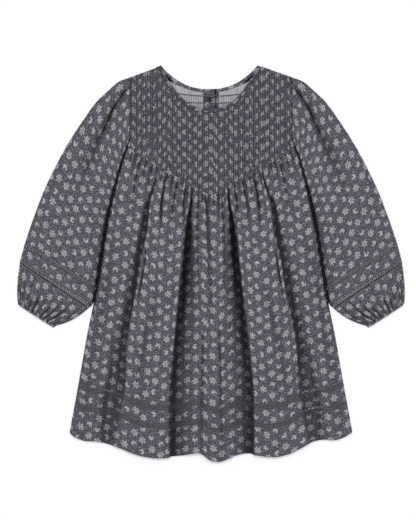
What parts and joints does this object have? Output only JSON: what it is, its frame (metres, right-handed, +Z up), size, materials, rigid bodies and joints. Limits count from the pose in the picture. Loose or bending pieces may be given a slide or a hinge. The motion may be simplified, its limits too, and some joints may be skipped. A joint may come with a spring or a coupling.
{
  "type": "child's long-sleeved dress, laid flat",
  "caption": "Child's dress laid flat: smocked yoke over a V-shaped seam, gathered A-line skirt, full sleeves drawn in at narrow cuffs, and insertion lace near the hem and cuffs.",
  "frame": {"origin": "on the surface that the dress lies on, under the middle of its bounding box", "axes": "+X to the right of someone looking down at the front, +Y from the hem to the shoulders, +Z up, away from the surface"},
  "size_m": [0.5824, 0.5946, 0.0145],
  "materials": {
    "print": "matt cotton, slate grey with a small light flower print",
    "print_reverse": "matt cotton, the print's light wrong side",
    "lace": "matt cotton insertion lace, dark grey",
    "button": "satin resin, near black"
  },
  "bodies": {
    "root": {"front_yoke": "print", "back_yoke": "print_reverse", "front_neck_binding": "print", "back_neck_binding_left": "print", "back_neck_binding_right": "print", "back_placket": "print", "back_neck_tab": "print", "button": "button", "front_skirt": "print", "back_skirt": "print", "front_upper_lace": "lace", "front_band": "print", "front_lower_lace": "lace", "front_hem": "print", "back_upper_lace": "lace", "back_band": "print", "back_lower_lace": "lace", "back_hem": "print", "sleeve_left": "print", "sleeve_right": "print", "sleeve_upper_lace_left": "lace", "sleeve_upper_lace_right": "lace", "sleeve_band_left": "print", "sleeve_band_right": "print", "sleeve_lower_lace_left": "lace", "sleeve_lower_lace_right": "lace", "sleeve_end_left": "print", "sleeve_end_right": "print", "sleeve_cuff_left": "print", "sleeve_cuff_right": "print"}
  },
  "joints": []
}
